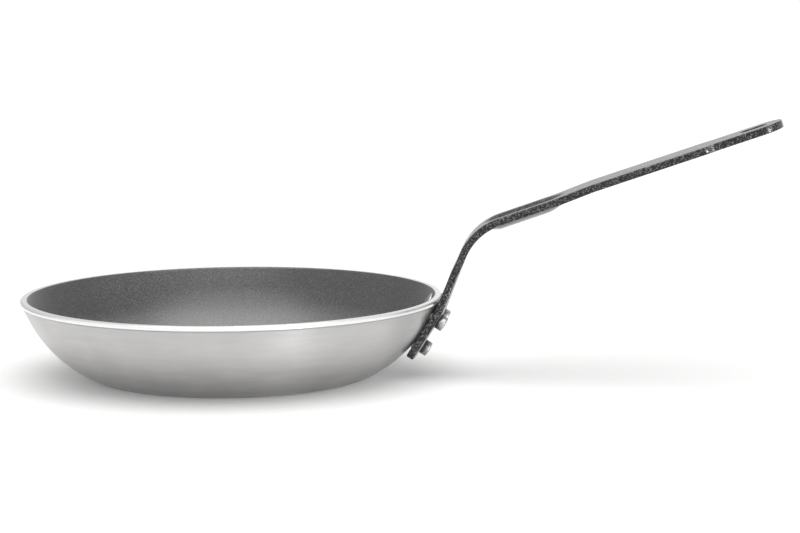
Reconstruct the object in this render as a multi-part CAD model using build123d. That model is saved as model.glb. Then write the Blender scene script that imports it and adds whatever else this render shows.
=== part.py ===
# Omelette pan: a pressed aluminium pan with a non-stick skin inside,
# and a bent strip-steel handle held on by three rivets.
# Millimetres. The origin is the centre of the base's underside, +Z is up,
# and the handle points along +X.
from build123d import *
from math import asin, atan2, cos, degrees, radians, sin, sqrt, tan
import os

# Pan
rim_radius = 140.0  # outside of the band round the rim
rim_height = 54.0  # top of the rim above the base
pan_wall = 4.8  # thickness of the floor and the wall
base_radius = 85.0  # flat of the base that stands on the hob
heel_radius = 25.0  # outside rounding from the base into the wall
heel_angle = 27.0  # slope at which the heel runs into the wall, degrees
rim_turn_share = 0.8274  # turn of the wall up to the rim, as a share of what one plain arc would turn
band_height = 2.7  # bright turned band round the rim
band_step = 0.6  # how far the band stands out from the wall
band_round = 1.8  # rounding of the band's upper edge
coating_thickness = 0.2  # non-stick skin

# Handle, one strip bent on edge
strip_thickness = 5.0
strip_width = 35.0
strip_round = 1.3  # rounding of the strip's long edges
handle_gap = 0.15  # paint and air between the plate and the wall
plate_turn_share = 0.859  # how far up the wall's turn the plate touches it
plate_width = 44.0
plate_corner = 3.0  # rounding of the plate's two lower corners
plate_drop = 20.5  # lower end of the plate, below where it touches the wall
plate_rise = 16.6  # bend into the riser, above where it touches the wall
shoulder_margin = 3.0  # full plate width kept beyond the upper rivet heads
shoulder_length = 17.0  # over which the plate narrows to the strip
shoulder_round = 12.0
foot_turn = 11.4  # from the plate to the steeper riser, degrees
riser_length = 56.7
flatten_share = 0.8  # of the free riser, over which its curve fades out
neck_angle = 19.0
neck_length = 58.2
waist_angle = 21.5
waist_length = 24.5
grip_angle = 18.6
grip_length = 130.4
foot_bend = 40.0  # bend radii on the middle of the strip
main_bend = 40.0
waist_bend = 150.0

# Stiffening rib pressed down into the neck
rib_depth = 3.6  # how far it bulges under the strip
rib_radius = 26.0  # outside of the bulge, broad and shallow
rib_start = 12.0  # where its full depth begins, along the neck from the main corner
rib_length = 41.0  # at full depth
rib_rise = 6.0  # over which it deepens, at the end by the main bend
rib_fade = 19.0  # over which it fades out, at the other end
rib_end_share = 1.25  # how far the ends draw back, in rib depths, so that they end inside the strip

# Head of the handle, with the hanging slot
head_width = 29.5
head_length = 60.0
flare_start = 54.0  # where the strip begins to narrow to the head, measured back from the tip
flare_end = 46.5
slot_length = 17.5
slot_width = 9.0
slot_setback = 19.0  # centre of the slot, measured back from the tip

# Rivets
rivet_spacing = 30.5  # between the two upper rivets
upper_rivet_rise = 10.1  # above where the plate touches the wall, along the plate
lower_rivet_drop = 12.1  # below it
shank_radius = 3.0
shank_clearance = 0.1  # between a shank and its holes
outer_head_radius = 5.0
outer_head_height = 5.6
outer_head_crown = 20.0  # radius of the crowned face
outer_head_round = 0.9
inner_head_radius = 8.5
inner_head_height = 1.8

overrun = 10.0  # how far cutting tools run past what they cut


def slope(angle):
    """Unit step along a line that climbs at this angle, as (x, z)."""
    return cos(radians(angle)), sin(radians(angle))


def step(point, angle, length):
    """The point reached by walking a length at an angle in the XZ plane."""
    along, up = slope(angle)
    return point[0] + along * length, point[1] + up * length


# The wall is a heel arc, a large arc and a straight run to the rim, all tangent.
# The large arc and the straight run are sized so that the wall ends under the rim band.
heel_end = step((base_radius, heel_radius), heel_angle - 90, heel_radius)
wall_top = (rim_radius - band_step, rim_height - band_height)
span_out = wall_top[0] - heel_end[0]
span_up = wall_top[1] - heel_end[1]
plain_arc_turn = 2 * (degrees(atan2(span_up, span_out)) - heel_angle)
rim_angle = heel_angle + rim_turn_share * plain_arc_turn  # slope of the wall just under the rim
rim_cos, rim_sin = slope(rim_angle)
turn_share = 1 - cos(radians(rim_angle - heel_angle))
wall_radius = (span_out * rim_sin - span_up * rim_cos) / turn_share
wall_centre = step(heel_end, heel_angle + 90, wall_radius)


def wall_point(angle, depth):
    """Point of the curved wall where it climbs at an angle, a depth inside the outer skin."""
    return step(wall_centre, angle - 90, wall_radius - depth)


def wall_line(depth, top):
    """Edges from the axis to a height, following the outer skin a depth inside it."""
    bend_end = wall_point(rim_angle, depth)
    run = (top - bend_end[1]) / rim_sin
    return [
        Line((0, depth), (base_radius, depth)),
        CenterArc((base_radius, heel_radius), heel_radius - depth, 270, heel_angle),
        CenterArc(wall_centre, wall_radius - depth, 270 + heel_angle, rim_angle - heel_angle),
        Line(bend_end, step(bend_end, rim_angle, run)),
    ]


def turned(edges):
    """Solid of revolution about the Z axis from the edges of a closed outline."""
    return revolve(Plane.XZ * make_face(edges), Axis.Z)


def hollow(depth, top):
    """The space in the pan up to a height, bounded by a surface a depth inside the outer skin."""
    line = wall_line(depth, top)
    corner = line[-1] @ 1
    lid = Line(corner, (0, top))
    return turned(line + [lid, Line((0, top), (0, depth))])


coated_depth = pan_wall + coating_thickness
head_depth = coated_depth + inner_head_height

# The riveted plate lies on the wall where the wall has the plate's own slope.
plate_angle = heel_angle + plate_turn_share * (rim_angle - heel_angle)
riser_angle = plate_angle + foot_turn
touch = step(wall_point(plate_angle, 0), plate_angle - 90, handle_gap)
plate_cos, plate_sin = slope(plate_angle)
hug_radius = touch[0] / plate_sin  # curve across the plate's inner face, the same as the wall's
hug_outer = hug_radius + strip_thickness  # and across its outer face


def plate_place(rise, lift):
    """Place on the plate: X runs up the plate, Z points away from the pan."""
    x, z = step(step(touch, plate_angle, rise), plate_angle - 90, lift)
    plane = Plane(origin=(x, 0, z), x_dir=(plate_cos, 0, plate_sin), z_dir=(plate_sin, 0, -plate_cos))
    return plane.location


# Each rivet is placed by the centre of its outer head's seat on the plate.
# The upper two are turned about the centre of the plate's curve, so they stand square to it.
upper_centre = plate_place(upper_rivet_rise, -hug_radius)
upper_tilt = degrees(asin(rivet_spacing / 2 / hug_outer))
rivet_seats = {
    "rivet_lower": plate_place(-lower_rivet_drop, strip_thickness),
    "rivet_upper_left": upper_centre * Rot(upper_tilt, 0, 0) * Pos(0, 0, hug_outer),
    "rivet_upper_right": upper_centre * Rot(-upper_tilt, 0, 0) * Pos(0, 0, hug_outer),
}
rivet_reach = strip_thickness + head_depth + overrun


def inward_bar(seat, radius):
    """Bar from a rivet's seat inwards through the strip, the wall and the coating."""
    return seat * Cylinder(radius, rivet_reach, align=(Align.CENTER, Align.CENTER, Align.MAX))


def rivet_holes():
    """The holes that the three rivets pass through."""
    hole_radius = shank_radius + shank_clearance
    return [inward_bar(seat, hole_radius) for seat in rivet_seats.values()]


def make_pan_body():
    """Pressed aluminium pan with the bright band turned round its rim."""
    band_foot = (rim_radius, wall_top[1])
    round_centre = (rim_radius - band_round, rim_height - band_round)
    inside = wall_line(pan_wall, rim_height)
    band = [
        Line(wall_top, band_foot),
        Line(band_foot, (rim_radius, round_centre[1])),
        CenterArc(round_centre, band_round, 0, 90),
        Line((round_centre[0], rim_height), inside[-1] @ 1),
    ]
    axis_edge = Line((0, 0), (0, pan_wall))
    pan = turned(wall_line(0, wall_top[1]) + band + inside + [axis_edge])
    return pan - rivet_holes()


def make_coating():
    """Thin non-stick skin over the whole inside, up to the rim."""
    return hollow(pan_wall, rim_height) - hollow(coated_depth, rim_height) - rivet_holes()


# Middle line of the strip, corner by corner, from the plate's lower end to the tip.
plate_middle = step(touch, plate_angle - 90, strip_thickness / 2)
strip_start = step(plate_middle, plate_angle, -plate_drop)
foot_corner = step(plate_middle, plate_angle, plate_rise)
main_corner = step(foot_corner, riser_angle, riser_length)
neck_corner = step(main_corner, neck_angle, neck_length)
waist_corner = step(neck_corner, waist_angle, waist_length)
strip_tip = step(waist_corner, grip_angle, grip_length)


def in_space(point):
    """An (x, z) point on the plane of symmetry as a point in space."""
    return Vector(point[0], 0, point[1])


def across(point, angle):
    """Place of a section: X points along +Y, Y towards the pan, and Z along the strip."""
    along, up = slope(angle)
    return Plane(origin=in_space(point), x_dir=(0, 1, 0), z_dir=(along, 0, up)).location


def swept(corners, angle, bends, section):
    """A section carried along a path of straight runs and tangent bends, which starts at an angle."""
    path = FilletPolyline(*[in_space(point) for point in corners], radius=bends)
    return sweep(across(corners[0], angle) * section, path=path)


def hugging(width):
    """Section of the plate, whose inner face has the wall's curve."""
    ring = Circle(hug_outer) - Circle(hug_radius)
    low_side = Rectangle(width, hug_radius, align=(Align.CENTER, Align.MIN))
    return Pos(0, -strip_thickness / 2) * (Pos(0, hug_outer) * ring & low_side)


# The plate narrows over its shoulders. The riser above them flattens before the main bend.
shoulder_low = upper_rivet_rise + outer_head_radius + shoulder_margin
shoulder_high = shoulder_low + shoulder_length
inside_shoulder = (shoulder_low + shoulder_high) / 2
main_tangent = main_bend * tan(radians(riser_angle - neck_angle) / 2)
curve_end = shoulder_high + shoulder_margin
free_riser = plate_rise + riser_length - main_tangent - curve_end


def up_riser(rise):
    """Point on the middle of the riser, a distance above the touching point along the strip."""
    return step(foot_corner, riser_angle, rise - plate_rise)


flat_start = up_riser(curve_end + flatten_share * free_riser)


def make_strip():
    """The strip with rounded edges, from between the shoulders to the head."""
    curved = fillet(hugging(strip_width).vertices(), strip_round)
    flat = RectangleRounded(strip_width, strip_thickness, strip_round)
    curved_low = across(up_riser(inside_shoulder), riser_angle) * curved
    curved_high = across(up_riser(curve_end), riser_angle) * curved
    flat_low = across(flat_start, riser_angle) * flat
    head_start = step(strip_tip, grip_angle, -head_length)
    corners = [flat_start, main_corner, neck_corner, waist_corner, head_start]
    bends = [main_bend, waist_bend, waist_bend]
    upper = swept(corners, riser_angle, bends, flat)
    lower = extrude(curved_low, amount=curve_end - inside_shoulder)
    return lower + loft([curved_high, flat_low]) + upper


def make_plate():
    """The wide riveted foot, curved like the wall, which narrows into the strip above the rim."""
    ribbon_start = step(strip_start, plate_angle, -overrun)
    ribbon_end = up_riser(shoulder_high + overrun)
    section = hugging(plate_width + overrun)
    ribbon = swept([ribbon_start, foot_corner, ribbon_end], plate_angle, [foot_bend], section)
    wide = plate_width / 2
    narrow = strip_width / 2 - 2 * strip_round
    corners = [(-plate_drop, wide), (shoulder_low, wide), (shoulder_high, narrow)]
    mirrored = [(x, -y) for x, y in reversed(corners)]
    outline = Polygon(*corners, *mirrored, align=None)
    lower = outline.vertices().filter_by(lambda v: v.X < -plate_drop / 2)
    outline = fillet(lower, plate_corner)
    shoulders = outline.vertices().filter_by(lambda v: abs(v.X - shoulder_low) < shoulder_margin)
    outline = fillet(shoulders, shoulder_round)
    cutter = extrude(plate_place(0, 0) * outline, amount=plate_width, both=True)
    return ribbon & cutter


def strip_place(point, angle):
    """Place on the middle of the strip: X runs towards the tip, Z points up out of the strip."""
    along, up = slope(angle)
    return Plane(origin=in_space(point), x_dir=(along, 0, up), z_dir=(-up, 0, along)).location


def make_head():
    """The head of the handle: narrower, crisp edged, with a round tip and the hanging slot."""
    narrow = strip_width / 2
    wide = head_width / 2
    side = [(-head_length, narrow), (-flare_start, narrow), (-flare_end, wide), (-wide, wide)]
    mirrored = [(x, -y) for x, y in reversed(side)]
    outline = Polygon(*side, *mirrored, align=None) + Pos(-wide, 0) * Circle(wide)
    outline -= Pos(-slot_setback, 0) * SlotOverall(slot_length, slot_width)
    return extrude(strip_place(strip_tip, grip_angle) * outline, amount=strip_thickness / 2, both=True)


rib_place = strip_place(main_corner, neck_angle) * Pos(rib_start, 0, 0)


def rib_bar(radius):
    """A bar with drawn-in ends that lies along the rib's axis, a little above the neck."""
    axis_height = rib_radius - rib_depth - strip_thickness / 2
    end_radius = radius - rib_end_share * rib_depth
    first = -rib_rise
    last = rib_length + rib_fade
    side = [(first, end_radius), (0, radius), (rib_length, radius), (last, end_radius)]
    outline = Polygon((first, 0), *side, (last, 0), align=None)
    return rib_place * Pos(0, 0, axis_height) * revolve(outline, Axis.X)


def make_handle():
    """The whole handle: strip, plate and head, with its rib, slot and rivet holes."""
    room = 2 * (rib_length + rib_fade) + overrun
    below_neck = rib_place * Box(room, room, room, align=(Align.CENTER, Align.CENTER, Align.MAX))
    bulge = rib_bar(rib_radius) & below_neck
    groove = rib_bar(rib_radius - strip_thickness)
    handle = make_strip() + make_plate() + make_head() + bulge
    return handle - groove - rivet_holes()


def outer_head():
    """Short round head with a slightly crowned face and a rounded edge."""
    crown_drop = outer_head_crown - sqrt(outer_head_crown**2 - outer_head_radius**2)
    edge_top = (outer_head_radius, outer_head_height - crown_drop)
    outline = make_face([
        Line((0, 0), (outer_head_radius, 0)),
        Line((outer_head_radius, 0), edge_top),
        ThreePointArc(edge_top, crown_point(outer_head_radius / 2), crown_point(0)),
        Line(crown_point(0), (0, 0)),
    ])
    rim = outline.vertices().sort_by_distance((*edge_top, 0))[0]
    return revolve(Plane.XZ * fillet(rim, outer_head_round), Axis.Z)


def crown_point(radius):
    """Point of the outer head's crowned face at a distance from its axis."""
    return radius, outer_head_height - outer_head_crown + sqrt(outer_head_crown**2 - radius**2)


def make_rivet(seat):
    """Solid rivet: flat head inside on the coating, shank, and formed head outside on the plate."""
    over_rim = rim_height + rivet_reach
    open_space = hollow(head_depth, over_rim)
    outer = seat * outer_head()
    shank = inward_bar(seat, shank_radius) - open_space
    inner = (inward_bar(seat, inner_head_radius) & hollow(coated_depth, over_rim)) - open_space
    return outer + shank + inner


def main():
    os.makedirs("parts", exist_ok=True)
    pieces = {
        "pan_body": make_pan_body(),
        "nonstick_coating": make_coating(),
        "handle": make_handle(),
    }
    for name, seat in rivet_seats.items():
        pieces[name] = make_rivet(seat)
    for name, piece in pieces.items():
        export_step(piece, f"parts/{name}.step")
        box = piece.bounding_box()
        print(name, "solids", len(piece.solids()), "volume", round(piece.volume), "to", box.max)


main()
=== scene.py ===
# %% [markdown]
# An omelette pan, dressed for its photograph.
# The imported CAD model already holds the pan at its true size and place. This lesson gives every
# piece a smooth surface and a finish, and lights them like a small product studio.
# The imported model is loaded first, so that each new piece can be set against it.

# %% Load the frame
from math import atan2, cos, degrees, pi, radians, sin

import bmesh
import bpy
import numpy as np
from mathutils import Matrix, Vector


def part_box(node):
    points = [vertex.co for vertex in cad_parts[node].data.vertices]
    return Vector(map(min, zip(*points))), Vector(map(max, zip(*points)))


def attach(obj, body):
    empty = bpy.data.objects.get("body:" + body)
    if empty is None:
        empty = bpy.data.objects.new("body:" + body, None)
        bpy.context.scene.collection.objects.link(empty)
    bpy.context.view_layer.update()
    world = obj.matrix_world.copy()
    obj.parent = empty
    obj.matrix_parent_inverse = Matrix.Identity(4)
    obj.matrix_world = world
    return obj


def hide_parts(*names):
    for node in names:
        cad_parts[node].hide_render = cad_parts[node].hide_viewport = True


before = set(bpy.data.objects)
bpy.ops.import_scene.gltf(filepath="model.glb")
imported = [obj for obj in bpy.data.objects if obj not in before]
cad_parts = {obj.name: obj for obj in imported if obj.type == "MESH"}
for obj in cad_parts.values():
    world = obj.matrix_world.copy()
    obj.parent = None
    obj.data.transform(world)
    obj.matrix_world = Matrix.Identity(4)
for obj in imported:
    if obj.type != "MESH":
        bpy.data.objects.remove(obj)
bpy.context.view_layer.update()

print("CAD nodes:", ", ".join(sorted(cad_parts)))

# %% [markdown]
# The camera stands a little above the rim and looks along the pan's side, with the handle to the
# right and turned slightly towards it. It is a long lens far away, which keeps the rim's ellipse
# nearly even. The camera is first placed as if the handle pointed straight to the right, and the
# last turn about Z carries it round to where the handle really points.

# %% Camera
focal_length = 112.5  # for a sensor 36 mm wide
camera_distance = 1.678  # from the middle of the base, in metres
camera_rise = 10.09  # degrees above the table, seen from the middle of the base
camera_pitch = -7.68
camera_yaw = 3.89
camera_roll = -0.43
handle_turn = 8.1  # how far the handle points out of the picture, towards the camera
farthest_seen = 100  # metres

camera_data = bpy.data.cameras.new("product_camera")
camera_data.lens = focal_length
camera_data.clip_end = farthest_seen
camera = bpy.data.objects.new("product_camera", camera_data)
bpy.context.scene.collection.objects.link(camera)
bpy.context.scene.camera = camera

stand_back = camera_distance * cos(radians(camera_rise))
stand_up = camera_distance * sin(radians(camera_rise))
camera_place = Matrix.Translation((0, -stand_back, stand_up))
camera_aim = (
    Matrix.Rotation(radians(-camera_yaw), 4, "Z")
    @ Matrix.Rotation(radians(90 + camera_pitch), 4, "X")
    @ Matrix.Rotation(radians(camera_roll), 4, "Z")
)
around_pan = Matrix.Rotation(radians(handle_turn), 4, "Z")
camera.matrix_world = around_pan @ camera_place @ camera_aim
print("camera at", [round(value, 3) for value in camera.location])

# %% [markdown]
# Every new surface is a grid of points. A small kit turns such grids into a mesh: one function
# numbers the quads of a grid, and one builds the Blender object, welds the lines where grids meet,
# closes the poles and turns all faces outwards. The object itself stays at the origin, because its
# place is in its mesh, as it is for the CAD nodes.

# %% Mesh kit
weld_distance = 1e-7


def grid_faces(rows, columns, loop=False, start=0):
    """Quads of a grid numbered row by row; with loop, the last column joins the first."""
    across = columns if loop else columns - 1
    row, column = np.meshgrid(np.arange(rows - 1), np.arange(across), indexing="ij")
    beside = (column + 1) % columns
    corners = [row * columns + column, row * columns + beside,
               (row + 1) * columns + beside, (row + 1) * columns + column]
    return start + np.stack(corners, axis=-1).reshape(-1, 4)


def new_piece(name, grids, node, material):
    """A closed smooth piece from grids of points, each a pair of (points, loops round or not)."""
    points, faces, count = [], [], 0
    for grid, loop in grids:
        rows, columns = grid.shape[:2]
        points.append(grid.reshape(-1, 3))
        faces.append(grid_faces(rows, columns, loop, count))
        count += rows * columns
    mesh = bpy.data.meshes.new(name)
    mesh.from_pydata(np.vstack(points).tolist(), [], np.vstack(faces).tolist())
    work = bmesh.new()
    work.from_mesh(mesh)
    bmesh.ops.remove_doubles(work, verts=work.verts, dist=weld_distance)
    bmesh.ops.dissolve_degenerate(work, edges=work.edges, dist=weld_distance)
    bmesh.ops.recalc_face_normals(work, faces=work.faces)
    open_edges = sum(1 for edge in work.edges if len(edge.link_faces) != 2)
    work.to_mesh(mesh)
    work.free()
    mesh.polygons.foreach_set("use_smooth", np.ones(len(mesh.polygons), bool))
    mesh.materials.append(material)
    piece = bpy.data.objects.new(name, mesh)
    bpy.context.scene.collection.objects.link(piece)
    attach(piece, "root")
    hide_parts(node)
    print(f"{name}: {len(mesh.polygons)} faces, {open_edges} open edges")


def turned(profile, steps):
    """Surface of revolution about Z: (r, z) goes to (r cos a, r sin a, z) at each angle a."""
    angle = np.linspace(0, 2 * pi, steps, endpoint=False)
    radius = profile[:, None, 0]
    height = np.broadcast_to(profile[:, None, 1], (len(profile), steps))
    return np.stack([radius * np.cos(angle), radius * np.sin(angle), height], axis=-1)


def arc(centre, radius, start, end, count):
    """Points of an arc, whose angle goes evenly from start to end, in degrees."""
    angle = np.radians(np.linspace(start, end, count))
    return np.asarray(centre) + radius * np.column_stack([np.cos(angle), np.sin(angle)])


def slope(angle):
    """Unit step along a line that climbs at this angle, in degrees."""
    return np.array([cos(radians(angle)), sin(radians(angle))])


# %% [markdown]
# Finishes are written as arithmetic. One small class wraps an output socket of a shader tree:
# adding or multiplying two of them adds Math nodes, and its node method adds anything else.
# A pattern such as brushed rings then reads like the formula that it is.

# %% Shader kit


class Link:
    """An output socket of a shader tree, on which arithmetic adds Math nodes."""

    def __init__(self, tree, socket=None):
        self.tree = tree
        self.socket = socket

    def node(self, kind, settings=None, inputs=None, output=0):
        """Adds a node: first its settings, then its sockets' values or links. Gives one output."""
        made = self.tree.nodes.new(kind)
        for name, value in (settings or {}).items():
            setattr(made, name, value)
        for name, value in (inputs or {}).items():
            if isinstance(value, Link):
                self.tree.links.new(value.socket, made.inputs[name])
            else:
                made.inputs[name].default_value = value
        return Link(self.tree, made.outputs[output])

    def maths(self, operation, first, *others):
        """A Math node on values or links."""
        inputs = dict(enumerate([first, *others]))
        return self.node("ShaderNodeMath", {"operation": operation}, inputs)

    def __add__(self, other):
        return self.maths("ADD", self, other)

    def __sub__(self, other):
        return self.maths("SUBTRACT", self, other)

    def __rsub__(self, other):
        return self.maths("SUBTRACT", other, self)

    def __mul__(self, other):
        return self.maths("MULTIPLY", self, other)

    def __truediv__(self, other):
        return self.maths("DIVIDE", self, other)

    __radd__ = __add__
    __rmul__ = __mul__

    def ramp(self, low, high, to_low=0.0, to_high=1.0):
        """Smoothly from to_low to to_high as this value goes from low to high."""
        settings = {"interpolation_type": "SMOOTHSTEP"}
        inputs = {0: self, 1: low, 2: high, 3: to_low, 4: to_high}
        return self.node("ShaderNodeMapRange", settings, inputs)

    def noise(self, vector, scale, detail=2.0, roughness=0.5):
        """A noise texture's value, from 0 to 1."""
        inputs = {"Vector": vector, "Scale": scale, "Detail": detail, "Roughness": roughness}
        return self.node("ShaderNodeTexNoise", {}, inputs)

    def vector(self, x, y, z):
        """A vector from three values or links."""
        return self.node("ShaderNodeCombineXYZ", {}, {0: x, 1: y, 2: z})

    def split(self):
        """The x, y and z of this vector."""
        return [self.node("ShaderNodeSeparateXYZ", {}, {0: self}, i) for i in range(3)]

    def mix_colour(self, low, high):
        """The colour low where this value is 0, and high where it is 1."""
        settings = {"data_type": "RGBA"}
        return self.node("ShaderNodeMix", settings, {0: self, 6: low, 7: high}, 2)

    def bump(self, distance, strength):
        """A normal bent by this height, whose full range stands this far off the surface."""
        inputs = {"Height": self, "Distance": distance, "Strength": strength}
        return self.node("ShaderNodeBump", {}, inputs)


def new_finish(name):
    """A material with an empty Principled surface, and the Link that adds nodes to it."""
    material = bpy.data.materials.new(name)
    material.use_nodes = True
    tree = material.node_tree
    surface = tree.nodes["Principled BSDF"]
    return material, surface, Link(tree)


def feed(surface, **inputs):
    """Sets or links sockets of a surface, named with underscores for spaces."""
    for name, value in inputs.items():
        socket = surface.inputs[name.replace("_", " ")]
        if isinstance(value, Link):
            value.tree.links.new(value.socket, socket)
        else:
            socket.default_value = value


def object_place(link):
    """The Object coordinates, on which every pattern is laid."""
    return link.node("ShaderNodeTexCoord", output="Object")


def grey(level, warmth=0.0):
    """A nearly neutral colour; warmth lifts red and lowers blue by that share."""
    return (level * (1 + warmth), level, level * (1 - warmth), 1)


print("shader kit ready")

# %% [markdown]
# The pan's wall is one line turned about the axis. It leaves the flat base on a small heel arc,
# climbs on a large arc and ends in a straight flared run under the rim. The same line, moved
# inwards by the metal's thickness, is the inside, and moved a little more it is the coated face,
# so all three stay parallel as they do on a pressed disc.

# %% Wall line
MM = 0.001
pan_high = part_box("pan_body")[1]
rim_radius = pan_high.x
rim_height = pan_high.z
pan_wall = 4.8 * MM
base_radius = 85 * MM
heel_radius = 25 * MM
heel_angle = 27.0
rim_turn_share = 0.8274
band_height = 2.7 * MM
band_step = 0.6 * MM
band_round = 1.8 * MM
coating_thickness = 0.2 * MM
coated_depth = pan_wall + coating_thickness
heel_points = 12
curve_points = 40
run_points = 12

heel_centre = np.array([base_radius, heel_radius])
heel_end = heel_centre + heel_radius * slope(heel_angle - 90)
wall_top = np.array([rim_radius - band_step, rim_height - band_height])
span_out, span_up = wall_top - heel_end
plain_arc_turn = 2 * (degrees(atan2(span_up, span_out)) - heel_angle)
rim_angle = heel_angle + rim_turn_share * plain_arc_turn
rim_cos, rim_sin = slope(rim_angle)
turn_share = 1 - cos(radians(rim_angle - heel_angle))
wall_radius = (span_out * rim_sin - span_up * rim_cos) / turn_share
wall_centre = heel_end + wall_radius * slope(heel_angle + 90)


def wall_line(depth, top):
    """(radius, height) from the base's edge up to a height, a depth inside the outer skin.

    Two arcs keep their centres and lose the depth from their radii, and the straight run goes on
    at the last slope until it reaches the height.
    """
    heel = arc(heel_centre, heel_radius - depth, -90, heel_angle - 90, heel_points)
    curve = arc(wall_centre, wall_radius - depth, heel_angle - 90, rim_angle - 90, curve_points)
    run = (top - curve[-1, 1]) / rim_sin
    steps = np.linspace(0, run, run_points)[:, None]
    return np.vstack([heel[:-1], curve[:-1], curve[-1] + steps * slope(rim_angle)])


print(f"wall: arc of {wall_radius / MM:.1f} mm, {rim_angle:.1f} degrees at the rim")

# %% [markdown]
# The aluminium is satin outside, because it was polished with a pad while it turned. That leaves
# fine rings, which spread a reflection up and down but hardly sideways. The spread is given by the
# anisotropic setting, and the rings by a noise that is stretched along the turning direction: its
# coordinates run slowly round the pan and fast across the rings. Wider streaks and soft clouds
# break up the rings, and a painted shade darkens the metal a little towards the base. The band
# round the rim was cut with a tool and is smoother and brighter.

# %% Aluminium
ring_pitch = 0.55 * MM
ring_share = 2.0  # how many noise cells fit in a radian round the pan
streak_pitch = 5 * MM
streak_share = 4.0
cloud_scale = 45.0  # noise cells in a metre
ring_relief = 0.004 * MM
band_edge = 0.2 * MM
metal_tone = 0.555
band_tone = 0.93
metal_roughness = 0.36
band_roughness = 0.24
# Painted shade near the base: how high it reaches, and how much it darkens the metal.
painted_heel_shade_height = 36 * MM
painted_heel_shade = -0.18
axis_room = 0.1 * MM  # keeps the radius away from zero where it divides


def ring_vector(link, x, y, z, pitch, round_share):
    """Noise coordinates on a tube: round_share cells to a radian round the axis, and one cell to a
    pitch along the wall, where radius plus height stands for the way along it."""
    radius = link.maths("SQRT", x * x + y * y)
    safe = link.maths("MAXIMUM", radius, axis_room)
    along = (radius + z) / pitch
    return link.vector(x / safe * round_share, y / safe * round_share, along)


def aluminium():
    """Satin turned aluminium, with the brighter band above the wall."""
    material, surface, link = new_finish("satin_aluminium")
    place = object_place(link)
    x, y, z = place.split()
    fine = link.noise(ring_vector(link, x, y, z, ring_pitch, ring_share), 1.0, 3.0, 0.6)
    streak = link.noise(ring_vector(link, x, y, z, streak_pitch, streak_share), 1.0)
    cloud = link.noise(place, cloud_scale)
    band = z.ramp(wall_top[1] - band_edge, wall_top[1] + band_edge)
    # Painted shade: the metal's colour is made darker towards the base.
    heel = z.ramp(0, painted_heel_shade_height, painted_heel_shade, 0.0)
    pattern = 0.12 * (fine - 0.5) + 0.09 * (streak - 0.5) + 0.10 * (cloud - 0.5)
    tone = metal_tone + pattern + heel
    wall_colour = tone.mix_colour(grey(0.0), grey(1.0, 0.006))
    colour = band.mix_colour(wall_colour, grey(band_tone))
    wall_roughness = metal_roughness + 0.10 * (fine - 0.5) + 0.08 * (streak - 0.5)
    roughness = wall_roughness * (1 - band) + band_roughness * band
    feed(surface, Base_Color=colour, Roughness=roughness, Normal=fine.bump(ring_relief, 0.5),
         Metallic=1.0, Anisotropic=0.8, Anisotropic_Rotation=0.25)
    return material


satin_aluminium = aluminium()
print("satin aluminium ready")

# %% [markdown]
# The pan itself is one closed profile: along the underside, up the wall, round the band, over the
# flat top of the rim, and back down the inside to the axis. Turning it gives a solid skin with
# true thickness. The underside has shallow turned grooves, which a cosine draws.

# %% Pan
round_steps = 256
groove_depth = 0.12 * MM
groove_pitch = 6 * MM
groove_start = 12 * MM
groove_end = 78 * MM
points_in_groove = 6
step_fillet = 0.4 * MM
lip_chamfer = 0.35 * MM
fillet_points = 5
foot_points = 4
crown_points = 12
top_points = 8


def underside():
    """(radius, height) from the axis outwards: flat, with grooves as deep as a raised cosine."""
    grooves_across = round((groove_end - groove_start) / groove_pitch)
    radius = np.linspace(groove_start, groove_end, points_in_groove * grooves_across + 1)
    lift = groove_depth * (1 - np.cos(2 * pi * (radius - groove_start) / groove_pitch)) / 2
    grooves = np.column_stack([radius, lift])
    return np.vstack([[0, 0], [groove_start / 2, 0], grooves])


def pan_profile():
    """The whole outline of the pan's metal, from the axis below to the axis above the floor."""
    outside = wall_line(0, wall_top[1] - step_fillet)
    under_band = arc(wall_top + [step_fillet, -step_fillet], step_fillet, 180, 90,
                     fillet_points)
    band_foot = arc([rim_radius - step_fillet / 2, wall_top[1] + step_fillet / 2],
                    step_fillet / 2, -90, 0, foot_points)
    crown = arc([rim_radius - band_round, rim_height - band_round], band_round, 0, 90,
                crown_points)
    inside = wall_line(pan_wall, rim_height - lip_chamfer)[::-1]
    lip = inside[:1] + [lip_chamfer, lip_chamfer]
    flat_top = np.linspace(crown[-1], lip[0], top_points)[1:]
    return np.vstack([underside(), outside, under_band, band_foot, crown, flat_top, inside,
                      [0, pan_wall]])


new_piece("pan", [(turned(pan_profile(), round_steps), True)],
          "pan_body", satin_aluminium)

# %% [markdown]
# The non-stick skin is sprayed on and baked: a dark grey paint with pale flecks, a little uneven
# like orange peel. The flecks are the cells of a Voronoi pattern whose random number is high
# enough. A painted sheen makes the skin's colour paler towards the floor. The rest of its
# brightness low on the far wall is gloss: there the skin mirrors the soft lamp above, blurred,
# into the camera.

# %% Non-stick coating
fleck_size = 0.8 * MM
dust_size = 0.8 * MM
peel_size = 1.6 * MM
peel_relief = 0.03 * MM
haze_scale = 22.0  # noise cells in a metre
coating_tone = 0.035
# Painted sheen: how much paler the skin's colour is made towards the floor, standing in for light
# it reflects there.
painted_sheen_tone = 0.125
painted_sheen_height = (16 * MM, 33 * MM)  # full below the first, gone above the second
coating_fleck_tone = 0.21
coating_roughness = 0.36


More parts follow.
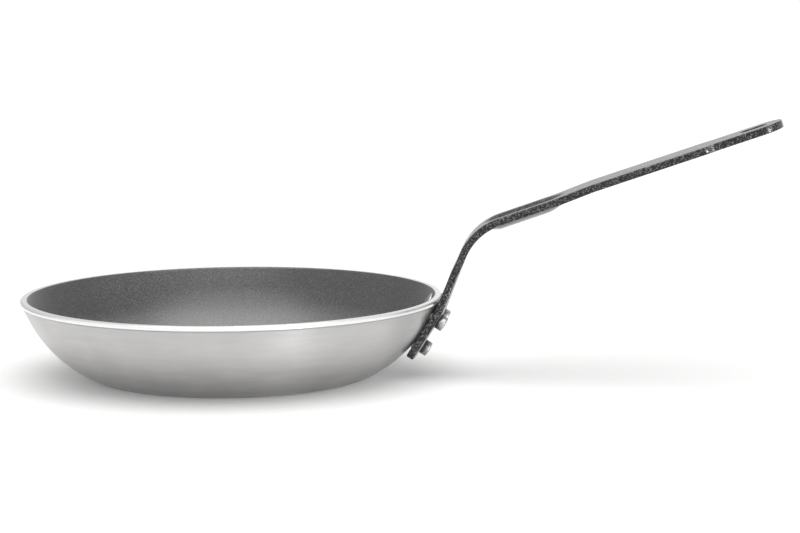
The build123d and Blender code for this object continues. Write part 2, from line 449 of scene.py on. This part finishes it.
def coating_finish():
    """Dark speckled coating."""
    material, surface, link = new_finish("speckled_coating")
    place = object_place(link)
    cells = {"Vector": place, "Scale": 1 / fleck_size}
    distance = link.node("ShaderNodeTexVoronoi", {}, cells)
    number = link.node("ShaderNodeTexVoronoi", {}, cells, 1)
    fleck = number.split()[0].ramp(0.45, 0.95) * distance.ramp(0.40, 0.2)
    dust = link.noise(place, 1 / dust_size, 2.0, 0.6)
    haze = link.noise(place, haze_scale, 3.0)
    # Painted sheen: the colour is lighter towards the floor, for light that the skin reflects
    # there.
    pale = place.split()[2].ramp(*painted_sheen_height, painted_sheen_tone, 0.0)
    ground = coating_tone + pale + (0.26 + pale) * (dust - 0.5) + 0.02 * (haze - 0.5)
    base = ground.mix_colour(grey(0.0), grey(1.0, 0.01))
    colour = fleck.mix_colour(base, grey(coating_fleck_tone, 0.02))
    roughness = coating_roughness + 0.12 * (dust - 0.5)
    relief = (link.noise(place, 1 / peel_size) + fleck * 0.5).bump(peel_relief, 0.6)
    feed(surface, Base_Color=colour, Roughness=roughness, Normal=relief, IOR=1.75,
         Sheen_Weight=0.25, Sheen_Roughness=0.3)
    return material


def coating_profile():
    """The skin's outline: up the metal's inside, over its thin edge, and back down its own face."""
    back = wall_line(pan_wall, rim_height)
    face = wall_line(coated_depth, rim_height)[::-1]
    return np.vstack([[0, pan_wall], back, face, [0, coated_depth]])


speckled_coating = coating_finish()
new_piece("coating", [(turned(coating_profile(), round_steps), True)],
          "nonstick_coating", speckled_coating)

# %% [markdown]
# The handle is made as in the workshop: first a flat blank, then a press. The blank is a strip
# with a wide plate at one end and a slotted, slightly narrower round head at the other. For every
# point of the blank we know how far it is from the nearest edge, and that distance alone gives the
# thickness there, because the edges are rounded. A formula for a distance replaces all the
# fillets. The sizes come first, with the plate's slope worked out from the wall that it lies on.

# %% Sizes of the handle
strip_thickness = 5 * MM
strip_width = 35 * MM
handle_gap = 0.15 * MM
plate_turn_share = 0.859
plate_width = 44 * MM
plate_corner = 3 * MM
plate_drop = 20.5 * MM
plate_rise = 16.6 * MM
foot_turn = 11.4
run_angles = [None, None, 19.0, 21.5, 18.6]  # plate and riser follow from the wall
run_lengths = np.array([plate_drop + plate_rise, 56.7 * MM, 58.2 * MM, 24.5 * MM, 130.4 * MM])
flatten_start = 60 * MM  # along the blank, where the curve across the riser begins to fade
bend_radii = np.array([40, 40, 150, 150]) * MM
plate_angle = heel_angle + plate_turn_share * (rim_angle - heel_angle)
run_angles[0] = plate_angle
run_angles[1] = plate_angle + foot_turn


def wall_point(angle, depth):
    """Point of the wall's large arc where it climbs at an angle, a depth inside the skin."""
    return wall_centre + (wall_radius - depth) * slope(angle - 90)


touch = wall_point(plate_angle, 0) + handle_gap * slope(plate_angle - 90)
hug_radius = touch[0] / sin(radians(plate_angle))
middle_touch = touch + strip_thickness / 2 * slope(plate_angle - 90)
strip_start = middle_touch - plate_drop * slope(plate_angle)

turns = np.radians(np.diff(run_angles))
tangents = bend_radii * np.tan(np.abs(turns) / 2)
straights = run_lengths - np.append(tangents, 0) - np.insert(tangents, 0, 0)
bends = bend_radii * np.abs(turns)
pieces_in_turn = np.insert(np.column_stack([bends, straights[1:]]).ravel(), 0, straights[0])
knots = np.insert(np.cumsum(pieces_in_turn), 0, 0)
knot_angles = np.repeat(run_angles, 2)
blank_length = knots[-1]
print(f"blank: {blank_length / MM:.1f} mm long, bends at", np.round(knots / MM, 1))

# %% [markdown]
# A press turns the flat blank into the handle. Its middle line is a chain of straight runs and
# round bends, and across the plate and the riser it also leans round the wall. A function that
# takes any flat point to its bent place lets the blank be drawn flat first, which is far easier.

# %% Middle line of the strip
fine_count = 4001
fine_s = np.linspace(0, blank_length, fine_count)
fine_angle = np.radians(np.interp(fine_s, knots, knot_angles))
middle_step = np.diff(fine_s)
mean_angle = (fine_angle[1:] + fine_angle[:-1]) / 2
line_x = strip_start[0] + np.insert(np.cumsum(middle_step * np.cos(mean_angle)), 0, 0)
line_z = strip_start[1] + np.insert(np.cumsum(middle_step * np.sin(mean_angle)), 0, 0)


def bend(s, y, height):
    """Lays a flat point on the bent strip.

    The slope is constant on a run and turns evenly in a bend, and the middle line is the running
    sum of small steps at that slope. A point stays as far along, as far aside, and as high above
    the middle line as it was in the flat blank.
    """
    angle = np.radians(np.interp(s, knots, knot_angles))
    height = height + hug(s, y)
    x = np.interp(s, fine_s, line_x) - height * np.sin(angle)
    z = np.interp(s, fine_s, line_z) + height * np.cos(angle)
    return np.stack([x, y, z], axis=-1)


def smooth_step(value, low, high):
    """0 below low, 1 above high, and 3 t t - 2 t t t in between."""
    t = np.clip((value - low) / (high - low), 0, 1)
    return t * t * (3 - 2 * t)


def hug(s, y):
    """How far the plate and the riser lean towards the pan beside their middle line.

    It is the sagitta of a circle with the wall's own curve, which fades out up the riser.
    """
    kept = 1 - smooth_step(s, flatten_start, knots[3])
    return (hug_radius - np.sqrt(hug_radius**2 - y**2)) * kept


print("tip of the handle at", np.round([line_x[-1] / MM, line_z[-1] / MM], 1), "mm")

# %% [markdown]
# The outline of the blank is a half width for every place along it. The plate's shoulders and the
# narrowing to the head are smooth steps, and the round ends are circles. The slot is a second
# line, nearer the middle, that the grid opens around.

# %% Blank
head_width = 29.5 * MM
head_radius = head_width / 2
shoulder_start = 34 * MM
shoulder_end = 58 * MM
flare_start = 54 * MM  # measured back from the tip
flare_end = 46.5 * MM
slot_length = 17.5 * MM
slot_width = 9 * MM
slot_setback = 19 * MM
slot_middle = blank_length - slot_setback
slot_round = slot_width / 2
slot_reach = (slot_length - slot_width) / 2
tip_middle = blank_length - head_radius
plate_edge_round = 0.9 * MM
strip_edge_round = 1.3 * MM
head_edge_round = 0.55 * MM
edge_lead = 2 * MM  # the edges begin to sharpen this far before the head's flare


def half_width(s):
    """Half the blank's width, without its round ends."""
    shoulder = smooth_step(s, shoulder_start, shoulder_end)
    flare = smooth_step(s, blank_length - flare_start, blank_length - flare_end)
    narrow = strip_width / 2
    return plate_width / 2 * (1 - shoulder) + narrow * shoulder + (head_radius - narrow) * flare


def outline(s):
    """Half the blank's width with the plate's lower corners and the round tip."""
    corner = np.sqrt(np.clip(plate_corner**2 - np.clip(plate_corner - s, 0, None) ** 2, 0, None))
    tip = np.sqrt(np.clip(head_radius**2 - np.clip(s - tip_middle, 0, None) ** 2, 0, None))
    with_corner = np.where(s < plate_corner, half_width(s) - plate_corner + corner, half_width(s))
    return np.where(s > tip_middle, tip, with_corner)


def slot_line(s):
    """Half the slot's width, and nothing beside the slot."""
    past_end = np.clip(np.abs(s - slot_middle) - slot_reach, 0, None)
    return np.sqrt(np.clip(slot_round**2 - past_end**2, 0, None))


def edge_distance(s, y):
    """How far a point of the blank is from the nearest edge.

    Beside a straight edge it is the gap to the edge's line. In a round end it is the end's radius
    less the distance from the end's centre, and round the slot the distance from the slot's middle
    line less the slot's radius.
    """
    nudge = 0.1 * MM
    lean = (half_width(s + nudge) - half_width(s - nudge)) / (2 * nudge)
    side = (half_width(s) - np.abs(y)) / np.sqrt(1 + lean**2)
    across = np.abs(y) - (half_width(s) - plate_corner)
    corner = plate_corner - np.hypot(plate_corner - s, across)
    in_corner = (s < plate_corner) & (across > 0)
    low_end = np.where(in_corner, corner, np.minimum(side, s))
    tip = head_radius - np.hypot(s - tip_middle, y)
    outer = np.where(s > tip_middle, tip, low_end)
    slot = np.hypot(np.clip(np.abs(s - slot_middle) - slot_reach, 0, None), y) - slot_round
    return np.clip(np.minimum(outer, slot), 0, None)


def edge_round(s):
    """Radius of the blank's edges: small on the plate and the head, large on the strip."""
    strip = smooth_step(s, shoulder_start, shoulder_end)
    head = smooth_step(s, blank_length - flare_start - edge_lead, blank_length - flare_end)
    rounding = plate_edge_round + (strip_edge_round - plate_edge_round) * strip
    return rounding + (head_edge_round - strip_edge_round) * head


def half_thickness(s, y):
    """Half the blank's thickness: full inside, and a quarter circle down to the edge."""
    radius = edge_round(s)
    short = np.clip(radius - edge_distance(s, y), 0, None)
    return strip_thickness / 2 - radius + np.sqrt(radius**2 - short**2)


# %% [markdown]
# A stiffening rib is pressed down into the neck. Under the strip it bulges like the side of a
# round bar, and above it leaves a groove with a smaller radius, one strip thickness away. The bar
# grows thinner towards its ends, and a soft maximum lets both faces run out into the flat strip.

# %% Rib
rib_depth = 3.6 * MM
rib_radius = 26 * MM
rib_setback = 12 * MM  # from the corner where the neck's two runs would meet
rib_length = 41 * MM
rib_start = knots[4] - tangents[1] + rib_setback
rib_end = rib_start + rib_length
rib_rise = 12 * MM  # from full to nothing before the start
rib_fade = 19 * MM  # and past the end
rib_rise_inside = 6 * MM  # how far inside the rib each change begins
rib_fade_inside = 4 * MM
rib_drawn_in = 1.25 * rib_depth
rib_soft = 0.25 * MM
rib_gone = 0.7  # share of a change from which the last of the rib fades too
rib_edge_room = 2 * MM


def rib_drop(s, y, radius, rise):
    """How far the strip's face is pressed down.

    It is the height of a bar's round side under its own middle line, less the rise of that line
    over the face, with a soft maximum against nothing. The bar's radius shrinks past both ends,
    and the bar goes on straight where the strip bends away from it.
    """
    start = smooth_step(rib_start - s, -rib_rise_inside, rib_rise)
    end = smooth_step(s - rib_end, -rib_fade_inside, rib_fade)
    away = np.clip(knots[4] - s, 0, None) ** 2 / (2 * bend_radii[1])
    bar = radius - rib_drawn_in * (start + end)
    depth = np.sqrt(np.clip(bar**2 - y**2, 0, None)) - rise - away
    soft = (depth + np.sqrt(depth**2 + rib_soft**2)) / 2
    near_edge = smooth_step(half_width(s) - np.abs(y), 0, rib_edge_room)
    return soft * (1 - smooth_step(start + end, rib_gone, 1)) * near_edge


def upper_face(s, y):
    """Height of the strip's upper face over its middle line."""
    groove_radius = rib_radius - strip_thickness
    return half_thickness(s, y) - rib_drop(s, y, groove_radius, groove_radius - rib_depth)


def lower_face(s, y):
    """Height of the strip's lower face over its middle line."""
    return -half_thickness(s, y) - rib_drop(s, y, rib_radius, rib_radius - rib_depth)


print(f"rib from {rib_start / MM:.1f} to {rib_end / MM:.1f} mm along the blank")

# %% [markdown]
# The grid of the blank has its lines close together where the shape turns quickly: at the edges,
# in the round ends and at the slot. Each half of the blank is a grid from the middle line, or the
# slot, out to the edge, and each has an upper and a lower face. Thin walls join the two faces
# round the outside and inside the slot, and the press then bends everything at once.

# %% Grid of the blank


def eased(start, end, count):
    """Places from start to end that crowd together at both ends, by a cosine."""
    return start + (end - start) * (1 - np.cos(np.linspace(0, pi, count))) / 2


row_step = 0.9 * MM
corner_rows, plate_rows, head_rows, slot_rows, neck_rows, tip_rows = 22, 40, 40, 41, 10, 24
tip_share = 0.7  # of the head's radius, from where the tip's rows follow its circle
inner_room_share = 1 / 8  # of the room beside the middle line, for its fine columns
tip_start = tip_middle + tip_share * head_radius
same_place = 1e-9
slot_start, slot_end = slot_middle - slot_length / 2, slot_middle + slot_length / 2
rows = np.unique(np.concatenate([
    plate_corner * (1 - np.cos(np.linspace(0, pi / 2, corner_rows))),
    np.linspace(plate_corner, shoulder_end, plate_rows),
    np.arange(shoulder_end, blank_length - flare_start, row_step),
    np.linspace(blank_length - flare_start, slot_start, head_rows),
    eased(slot_start, slot_end, slot_rows),
    np.linspace(slot_end, tip_start, neck_rows)[1:],
    tip_middle + head_radius * np.sin(np.linspace(pi / 4, pi / 2, tip_rows)),
]))
rows = rows[np.insert(np.diff(rows) > same_place, 0, True)]
in_slot = np.abs(rows - slot_middle) < slot_length / 2 + same_place
edge_columns = 8
middle_columns = 16
edge_shares = 1 - np.cos(np.linspace(0, pi / 2, edge_columns))
middle_shares = np.linspace(0, 1, middle_columns)


def half_grid():
    """Places (s, y) of half the blank, row by row from the middle or the slot to the edge."""
    inner = slot_line(rows)[:, None]
    outer = outline(rows)[:, None]
    room = (outer - inner) / 2
    outer_band = np.minimum(edge_round(rows)[:, None], room) * edge_shares
    slot_room = np.minimum(head_edge_round, room)
    inner_width = np.where(in_slot[:, None], slot_room, room * inner_room_share)
    inner_band = inner_width * edge_shares
    left = inner + inner_band
    right = (outer - outer_band)[:, ::-1]
    middle = left[:, -1:] + (right[:, :1] - left[:, -1:]) * middle_shares
    y = np.hstack([left[:, :-1], middle, right[:, 1:]])
    return np.broadcast_to(rows[:, None], y.shape), y


def handle_grids():
    """Faces and walls of both halves, bent into the handle's shape."""
    s, y = half_grid()
    grids = []
    for side in (-1, 1):
        upper = bend(s, side * y, upper_face(s, y))
        lower = bend(s, side * y, lower_face(s, y))
        grids += [(upper, False), (lower, False)]
        grids.append((np.stack([upper[:, -1], lower[:, -1]]), False))
        grids.append((np.stack([upper[0], lower[0]]), False))
        grids.append((np.stack([upper[in_slot, 0], lower[in_slot, 0]]), False))
    return grids


print(f"blank grid: {len(rows)} rows")

# %% [markdown]
# The handle is stove-enamelled in a dark hammered paint. Seen edge on it is nearly black with grey
# flecks, and seen along its top the gloss and a dusty sheen turn it pale. The hammered look is a
# bump of small round cells, and the flecks sit in the same cells, so that colour and relief
# agree.

# %% Hammered paint
cell_size = 0.72 * MM
grain_size = 0.65 * MM
hammer_relief = 0.08 * MM
paint_tone = 0.002
paint_fleck_tone = 0.22
paint_roughness = 0.27


def hammered_paint():
    """Dark glossy paint with a hammered relief and grey flecks."""
    material, surface, link = new_finish("hammered_paint")
    place = object_place(link)
    cells = {"Vector": place, "Scale": 1 / cell_size}
    distance = link.node("ShaderNodeTexVoronoi", {"feature": "SMOOTH_F1"}, cells)
    number = link.node("ShaderNodeTexVoronoi", {}, cells, 1)
    grain = link.noise(place, 1 / grain_size, 2.0, 0.6)
    fleck = number.split()[0].ramp(0.55, 0.8) * grain.ramp(0.4, 0.58)
    colour = fleck.mix_colour(grey(paint_tone), grey(paint_fleck_tone))
    roughness = paint_roughness + 0.2 * (grain - 0.5)
    relief = (distance + 0.6 * grain).bump(hammer_relief, 0.8)
    feed(surface, Base_Color=colour, Roughness=roughness, Normal=relief, IOR=1.45,
         Metallic=fleck * 0.6, Sheen_Weight=0.9, Sheen_Roughness=0.35)
    return material


dark_paint = hammered_paint()
new_piece("riveted_handle", handle_grids(), "handle", dark_paint)

# %% [markdown]
# A rivet has a short crowned head outside and a wide flat one inside. It is a profile turned about
# its own axis. Outside it stands on the plate. Inside, each point is slid along the axis, so that
# the head follows the curved wall, as a soft rivet does when it is hammered down.

# %% Sizes of the rivets
rivet_spacing = 30.5 * MM
upper_rivet_rise = 10.1 * MM
lower_rivet_drop = 12.1 * MM
shank_radius = 3 * MM
outer_head_radius = 5 * MM
outer_head_height = 5.6 * MM
outer_head_crown = 20 * MM
outer_head_round = 0.9 * MM
head_sink = 0.1 * MM  # lets the round seat follow the plate's curve without a gap
inner_head_radius = 8.5 * MM
inner_head_height = 1.8 * MM
inner_head_round = 1.1 * MM
crown_edge_angle = 78.0
crown_step = 0.03 * MM  # the crown's last point over its round edge
rivet_seats = {
    "rivet_lower": (-lower_rivet_drop, 0.0),
    "rivet_upper_left": (upper_rivet_rise, rivet_spacing / 2),
    "rivet_upper_right": (upper_rivet_rise, -rivet_spacing / 2),
}


def wall_depth(points):
    """How deep points are inside the wall's outer skin.

    Level with the large arc it is the arc's radius less the distance from its centre, and above
    that the distance from the straight run's line.
    """
    radius = np.hypot(points[..., 0], points[..., 1])
    out = radius - wall_centre[0]
    up = points[..., 2] - wall_centre[1]
    from_centre = np.hypot(out, up)
    on_run = -(out * rim_cos + up * rim_sin) < 0
    run_distance = out * rim_sin - up * rim_cos
    return wall_radius - np.where(on_run, run_distance, from_centre)


print("rivets:", ", ".join(rivet_seats))

# %% [markdown]
# The surface of a rivet is a stack of rings, from the middle of the crown, over the outer head,
# down the shank and over the inner head to its middle. The outer rings are plain circles. An inner
# ring is slid along the rivet's axis, point by point, until it lies as deep in the wall as it
# should, which a few small steps reach.

# %% Surface of a rivet
rivet_steps = 64
slides = 4
crown_rows, edge_rows, inner_rows = 8, 9, 8


def rivet_grid(rise, aside):
    """A rivet's surface: profile (r, h) turned about the seat's axis, h counted outwards from the
    plate, with the inner head's rows slid along the axis to a set depth in the wall.

    The axis is square to the curved plate, so it points at the centre of the plate's curve.
    """
    up_plate = np.array([slope(plate_angle)[0], 0, slope(plate_angle)[1]])
    middle_out = np.array([slope(plate_angle - 90)[0], 0, slope(plate_angle - 90)[1]])
    tilt = np.arcsin(aside / (hug_radius + strip_thickness))
    outwards = np.cos(tilt) * middle_out + np.sin(tilt) * np.array([0.0, 1.0, 0.0])
    across = np.cross(outwards, up_plate)
    curve_centre = np.array([touch[0], 0, touch[1]]) + rise * up_plate - hug_radius * middle_out
    seat = curve_centre + (hug_radius + strip_thickness) * outwards
    angle = np.linspace(0, 2 * pi, rivet_steps, endpoint=False)

    def ring(radius, height):
        around = np.cos(angle)[:, None] * up_plate + np.sin(angle)[:, None] * across
        return seat + radius * around + height * outwards

    drop = outer_head_crown - np.sqrt(outer_head_crown**2 - outer_head_radius**2)
    edge_centre = [outer_head_radius - outer_head_round,
                   outer_head_height - drop - outer_head_round]
    crown_edge = arc(edge_centre, outer_head_round, crown_edge_angle, 0, edge_rows)
    crown_radius = np.linspace(0, crown_edge[0, 0], crown_rows)[:-1]
    crown_fall = outer_head_crown - np.sqrt(outer_head_crown**2 - crown_radius**2)
    crown_lift = crown_edge[0, 1] + crown_fall[-1] + crown_step - crown_fall
    outer = np.vstack([np.column_stack([crown_radius, crown_lift]), crown_edge,
                       [outer_head_radius, -head_sink], [shank_radius, -head_sink]])
    shape = [ring(radius, height) for radius, height in outer]

    inner_edge = arc([inner_head_radius - inner_head_round, inner_head_height - inner_head_round],
                     inner_head_round, 0, 90, inner_rows)
    inner_radius = np.linspace(inner_edge[-1, 0], 0, inner_rows)[1:]
    flat = np.column_stack([inner_radius, np.full(len(inner_radius), inner_head_height)])
    inner = np.vstack([[shank_radius, 0], [inner_head_radius, 0], inner_edge, flat])
    for radius, lift in inner:
        points = ring(radius, -strip_thickness)
        for _ in range(slides):
            missing = coated_depth + lift - wall_depth(points)
            points = points - missing[:, None] * outwards
        shape.append(points)
    return np.stack(shape)


print("rivet surface ready")

# %% [markdown]
# The rivets are soft metal, so the hammer left shallow dents on their heads. The dents are a coarse
# noise and the satin is a fine one, and both lift the surface and shade it.

# %% Rivets
dent_size = 2.2 * MM
dent_relief = 0.05 * MM
rivet_grain_size = 0.4 * MM
rivet_tone = 0.50
rivet_roughness = 0.38


def rivet_finish():
    """Satin rivet metal, slightly marked by the hammer."""
    material, surface, link = new_finish("rivet_metal")
    place = object_place(link)
    dents = link.noise(place, 1 / dent_size)
    grain = link.noise(place, 1 / rivet_grain_size, 2.0, 0.6)
    tone = rivet_tone + 0.12 * (dents - 0.5) + 0.08 * (grain - 0.5)
    relief = (dents + 0.2 * grain).bump(dent_relief, 0.5)
    feed(surface, Base_Color=tone.mix_colour(grey(0.0), grey(1.0, 0.01)), Metallic=1.0,
         Roughness=rivet_roughness + 0.15 * (grain - 0.5), Normal=relief)
    return material


rivet_metal = rivet_finish()
for node_name, (rise, aside) in rivet_seats.items():
    grid = rivet_grid(rise, aside)
    new_piece(node_name.replace("rivet_", "rivet_of_handle_"), [(grid, True)],
              node_name, rivet_metal)

# %% [markdown]
# The studio is a white table under a white sky, with a broad soft lamp above and a narrow one low
# at the front right, which draws the upright streak on the wall and the glints on the handle's
# head. The table answers the camera and the metal with a shade that reaches plain white, so it
# has no horizon, but it keeps the pan's soft shadow. To everything else it is an ordinary pale
# table. Mirrored rays find the sky a little dimmer at the back, most of all in its two corners,
# as if a room stood there. That greys the two ends of the bright rim.

# %% Studio
table_size = 30.0
table_seen = 0.95
table_soft = 0.80
table_glow = 0.14
sky_light = 0.50
soft_lamp = (1.5, 60.0, 0.0, 10.0)  # strength, spread, turn round the pan, lean from above
strip_lamp = (1.35, 6.0, 33.0, 87.0)
corner_shade = 0.38  # share by which the mirrored sky is dimmer in the back corners
back_shade = 0.12  # and at the back


def ray_kinds(link, *kinds):
    """For each kind of ray, such as Camera, 1 where the ray is of that kind and 0 elsewhere."""
    return [link.node("ShaderNodeLightPath", output=f"Is {kind} Ray") for kind in kinds]


def seen_directly(link):
    """1 for rays from the camera and for mirrored or refracted rays, and 0 for soft light."""
    camera_ray, glossy, refracted = ray_kinds(link, "Camera", "Glossy", "Transmission")
    return link.maths("MAXIMUM", link.maths("MAXIMUM", camera_ray, glossy), refracted)


def table():
    """A large flat table of pale paint."""
    half = table_size / 2
    mesh = bpy.data.meshes.new("table")
    corners = [(-half, -half, 0), (half, -half, 0), (half, half, 0), (-half, half, 0)]
    mesh.from_pydata(corners, [], [(0, 1, 2, 3)])
    material, surface, link = new_finish("pale_table")
    direct = seen_directly(link)
    colour = direct.mix_colour(grey(table_soft), grey(table_seen, 0.004))
    feed(surface, Base_Color=colour, Roughness=1.0, Specular_IOR_Level=0.0,
         Emission_Color=direct.mix_colour(grey(0.0), grey(table_glow)), Emission_Strength=1.0)
    mesh.materials.append(material)
    floor = bpy.data.objects.new("table", mesh)
    bpy.context.scene.collection.objects.link(floor)


def sky():
    """White surroundings: full white where they are seen, and softer as a light.

    A mirrored ray finds 1, less back_shade for each unit that it points to the back, less
    corner_shade for twice the product of its steps to the back and to the side.
    """
    world = bpy.data.worlds.new("white_studio")
    world.use_nodes = True
    link = Link(world.node_tree)
    aside, away, _ = link.node("ShaderNodeTexCoord", output="Generated").split()
    behind = link.maths("MAXIMUM", away, 0.0)
    mirrored = 1 - corner_shade * 2 * link.maths("ABSOLUTE", aside) * behind - back_shade * behind
    camera_ray, glossy = ray_kinds(link, "Camera", "Glossy")
    soft = glossy * mirrored + (1 - glossy) * sky_light
    strength = camera_ray + (1 - camera_ray) * soft
    background = world.node_tree.nodes["Background"]
    background.inputs["Color"].default_value = grey(1.0)
    world.node_tree.links.new(strength.socket, background.inputs["Strength"])
    bpy.context.scene.world = world


def lamp(name, strength, angle, round_to, lean):
    """A distant lamp, leaning from straight above towards the camera and turned round the pan."""
    data = bpy.data.lights.new(name, "SUN")
    data.energy = strength
    data.angle = radians(angle)
    light = bpy.data.objects.new(name, data)
    bpy.context.scene.collection.objects.link(light)
    turn = Matrix.Rotation(radians(round_to), 4, "Z")
    light.matrix_world = around_pan @ turn @ Matrix.Rotation(radians(lean), 4, "X")


table()
sky()
lamp("overhead_softbox", *soft_lamp)
lamp("side_softbox", *strip_lamp)
bpy.context.scene.view_settings.view_transform = "Standard"
print("studio ready")
